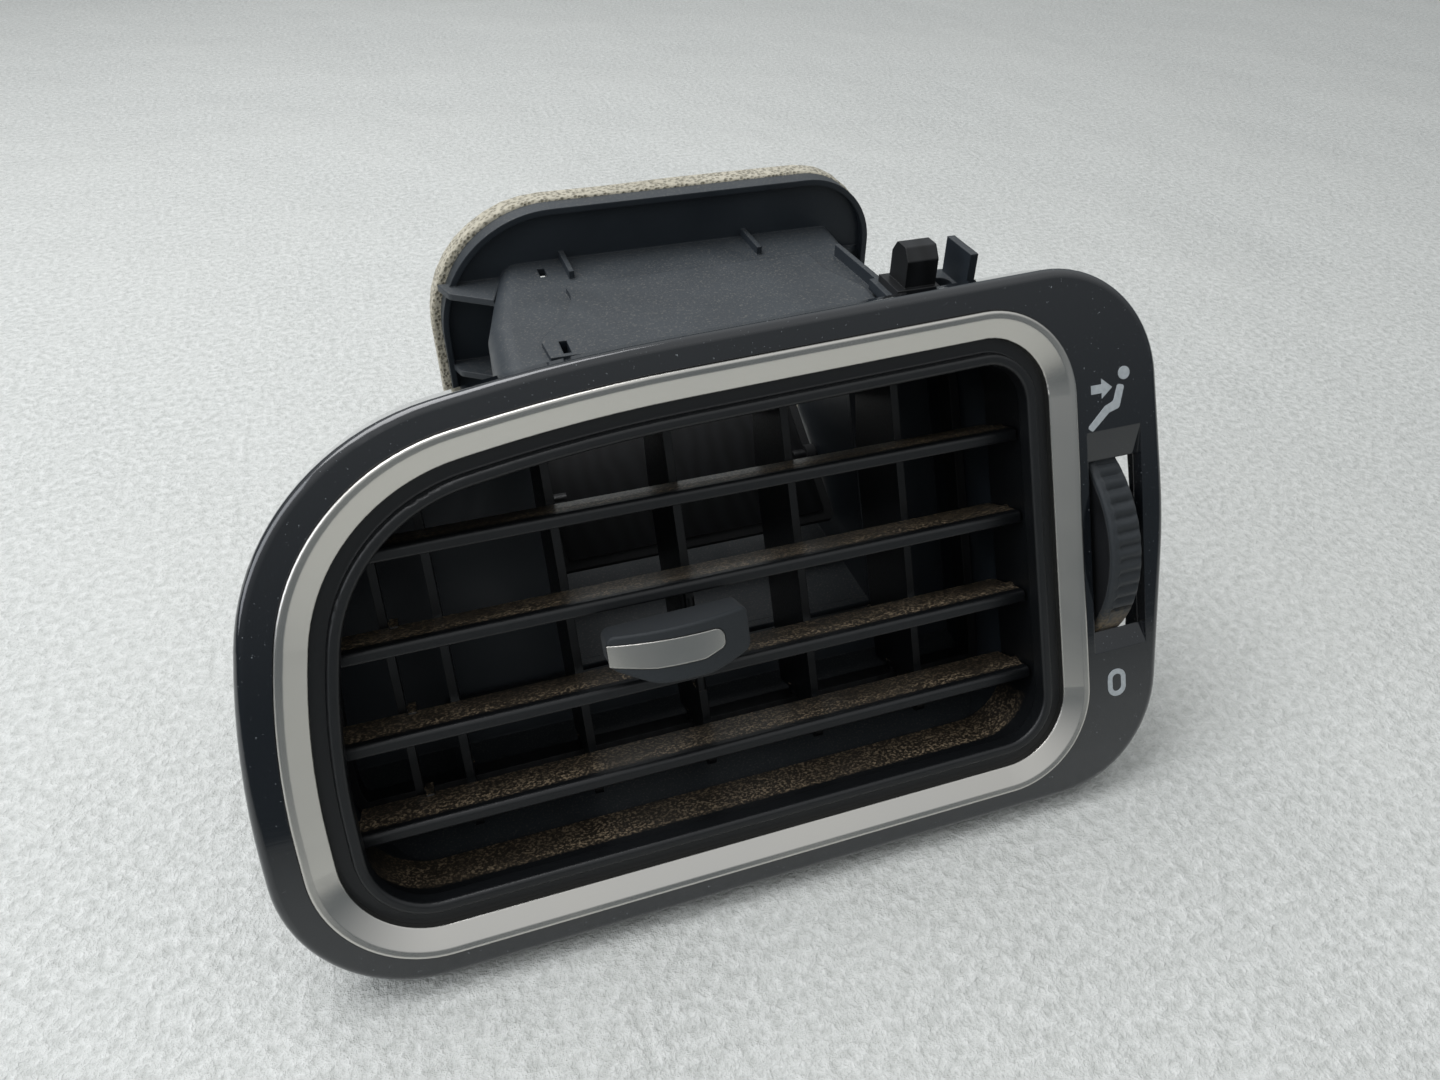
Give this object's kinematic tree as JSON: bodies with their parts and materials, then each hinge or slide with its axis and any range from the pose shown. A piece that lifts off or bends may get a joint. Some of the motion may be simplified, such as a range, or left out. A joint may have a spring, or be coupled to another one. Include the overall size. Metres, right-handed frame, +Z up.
{
  "type": "dashboard air vent",
  "caption": "Raked dashboard air outlet: tilting vanes and swinging blades moved by a slider knob, a thumbwheel that turns two shut-off flaps, and a duct ending in a flange.",
  "frame": {"origin": "centre of the base rectangle of the whole part, on the surface it stands on", "axes": "+X along the vent face to the right as seen from the front, +Y along the duct from the face to the flange, +Z up"},
  "size_m": [0.1682, 0.1068, 0.0944],
  "materials": {
    "piano_black": "polished black moulding, faint scratches",
    "satin_silver": "satin silver plated plastic",
    "textured_black": "fine-grained matt moulding",
    "housing_pp": "semi-matt dark blue-grey polypropylene",
    "mark_ink": "pad-printed light grey ink",
    "gasket_foam": "open-cell beige-grey foam",
    "seal_foam": "soft dark lip",
    "spring_steel": "zinc-coated",
    "soft_touch": "soft-touch dark grey",
    "natural_pom": "natural acetal",
    "black_pom": "smooth black acetal"
  },
  "bodies": {
    "vent": {"front_bezel": "piano_black", "trim_ring": "satin_silver", "vane_frame": "textured_black", "band_marks": "mark_ink", "vane_box": "housing_pp", "duct_body": "housing_pp", "flange_gasket": "gasket_foam", "retaining_clip": "black_pom", "band_screws": "spring_steel", "blade_carrier": "black_pom", "wheel_axle": "spring_steel", "axle_washer": "spring_steel"},
    "vane_1": {"vane_1": "textured_black"},
    "vane_2": {"vane_2": "textured_black"},
    "vane_3": {"vane_3": "textured_black"},
    "vane_4": {"vane_4": "textured_black"},
    "vane_tie_bar": {"vane_tie_bar": "black_pom"},
    "knob": {"knob": "soft_touch", "knob_insert": "satin_silver"},
    "blade_1": {"blade_1": "textured_black"},
    "blade_2": {"blade_2": "textured_black"},
    "blade_3": {"blade_3": "textured_black"},
    "blade_4": {"blade_4": "textured_black"},
    "blade_5": {"blade_5": "textured_black"},
    "blade_tie_bar": {"blade_tie_bar": "black_pom"},
    "thumbwheel": {"thumbwheel_hub": "black_pom", "thumbwheel_tread": "soft_touch"},
    "link_rod": {"link_rod": "natural_pom"},
    "flap_lower": {"damper_flap_lower": "black_pom", "damper_seal_lower": "seal_foam"},
    "flap_upper": {"damper_flap_upper": "black_pom", "damper_seal_upper": "seal_foam"},
    "flap_link": {"flap_link": "natural_pom"}
  },
  "joints": [
    {"name": "vane_3_tilt", "type": "hinge", "parent": "vent", "child": "vane_3", "pos_m": [-0.00495, -0.02407, 0.03305], "axis": [1, 0, 0], "range_deg": [-22, 22]},
    {"name": "vane_1_tilt", "type": "hinge", "parent": "vent", "child": "vane_1", "pos_m": [-0.00495, -0.01054, 0.06206], "axis": [1, 0, 0], "range_deg": [-22, 22]},
    {"name": "vane_2_tilt", "type": "hinge", "parent": "vent", "child": "vane_2", "pos_m": [-0.00495, -0.01731, 0.04755], "axis": [1, 0, 0], "range_deg": [-22, 22]},
    {"name": "vane_4_tilt", "type": "hinge", "parent": "vent", "child": "vane_4", "pos_m": [-0.00495, -0.03083, 0.01855], "axis": [1, 0, 0], "range_deg": [-22, 22]},
    {"name": "vane_tie_bar_pivot", "type": "hinge", "parent": "vane_3", "child": "vane_tie_bar", "pos_m": [-0.0599, -0.01682, 0.02967], "axis": [1, 0, 0], "range_deg": [-22, 22]},
    {"name": "knob_slide", "type": "slide", "parent": "vane_3", "child": "knob", "axis": [1, 0, 0], "range_m": [-0.005, 0.005]},
    {"name": "blade_1_swing", "type": "hinge", "parent": "vent", "child": "blade_1", "pos_m": [-0.05075, -0.00211, 0.03164], "axis": [0, 0.4226, 0.9063], "range_deg": [-25.5, 25.5]},
    {"name": "blade_2_swing", "type": "hinge", "parent": "vent", "child": "blade_2", "pos_m": [-0.02785, -0.00211, 0.03164], "axis": [0, 0.4226, 0.9063], "range_deg": [-25.5, 25.5]},
    {"name": "blade_3_swing", "type": "hinge", "parent": "vent", "child": "blade_3", "pos_m": [-0.00495, -0.00211, 0.03164], "axis": [0, 0.4226, 0.9063], "range_deg": [-25.5, 25.5]},
    {"name": "blade_4_swing", "type": "hinge", "parent": "vent", "child": "blade_4", "pos_m": [0.01795, -0.00211, 0.03164], "axis": [0, 0.4226, 0.9063], "range_deg": [-25.5, 25.5]},
    {"name": "blade_5_swing", "type": "hinge", "parent": "vent", "child": "blade_5", "pos_m": [0.04085, -0.00211, 0.03164], "axis": [0, 0.4226, 0.9063], "range_deg": [-25.5, 25.5]},
    {"name": "blade_tie_bar_pivot", "type": "hinge", "parent": "blade_3", "child": "blade_tie_bar", "pos_m": [-0.00495, -0.00193, 0.01192], "axis": [0, 0.4226, 0.9063], "range_deg": [-25.5, 25.5]},
    {"name": "wheel_turn", "type": "hinge", "parent": "vent", "child": "thumbwheel", "pos_m": [0.07165, -0.01619, 0.03931], "axis": [1, 0, 0], "range_deg": [-30, 48]},
    {"name": "link_rod_pivot", "type": "hinge", "parent": "thumbwheel", "child": "link_rod", "pos_m": [0.06655, -0.01914, 0.03081], "axis": [1, 0, 0], "range_deg": [-48, 30]},
    {"name": "flap_upper_turn", "type": "hinge", "parent": "vent", "child": "flap_upper", "pos_m": [0.01005, 0.03638, 0.06404], "axis": [1, 0, 0], "range_deg": [-30, 48]},
    {"name": "flap_lower_turn", "type": "hinge", "parent": "vent", "child": "flap_lower", "pos_m": [0.01005, 0.03638, 0.02964], "axis": [1, 0, 0], "range_deg": [-30, 48]},
    {"name": "flap_link_pivot", "type": "hinge", "parent": "flap_lower", "child": "flap_link", "pos_m": [0.04885, 0.04228, 0.0286], "axis": [1, 0, 0], "range_deg": [-48, 30]}
  ],
  "couplings": [
    {"joint": "vane_1_tilt", "follows": "vane_3_tilt", "ratio": 1},
    {"joint": "vane_2_tilt", "follows": "vane_3_tilt", "ratio": 1},
    {"joint": "vane_4_tilt", "follows": "vane_3_tilt", "ratio": 1},
    {"joint": "vane_tie_bar_pivot", "follows": "vane_3_tilt", "ratio": -1},
    {"joint": "blade_1_swing", "follows": "knob_slide", "rad_per_m": 88.5},
    {"joint": "blade_2_swing", "follows": "knob_slide", "rad_per_m": 88.5},
    {"joint": "blade_3_swing", "follows": "knob_slide", "rad_per_m": 88.5},
    {"joint": "blade_4_swing", "follows": "knob_slide", "rad_per_m": 88.5},
    {"joint": "blade_5_swing", "follows": "knob_slide", "rad_per_m": 88.5},
    {"joint": "blade_tie_bar_pivot", "follows": "knob_slide", "rad_per_m": -88.5},
    {"joint": "link_rod_pivot", "follows": "wheel_turn", "ratio": -1},
    {"joint": "flap_upper_turn", "follows": "wheel_turn", "ratio": 1},
    {"joint": "flap_lower_turn", "follows": "wheel_turn", "ratio": 1},
    {"joint": "flap_link_pivot", "follows": "wheel_turn", "ratio": -1}
  ]
}
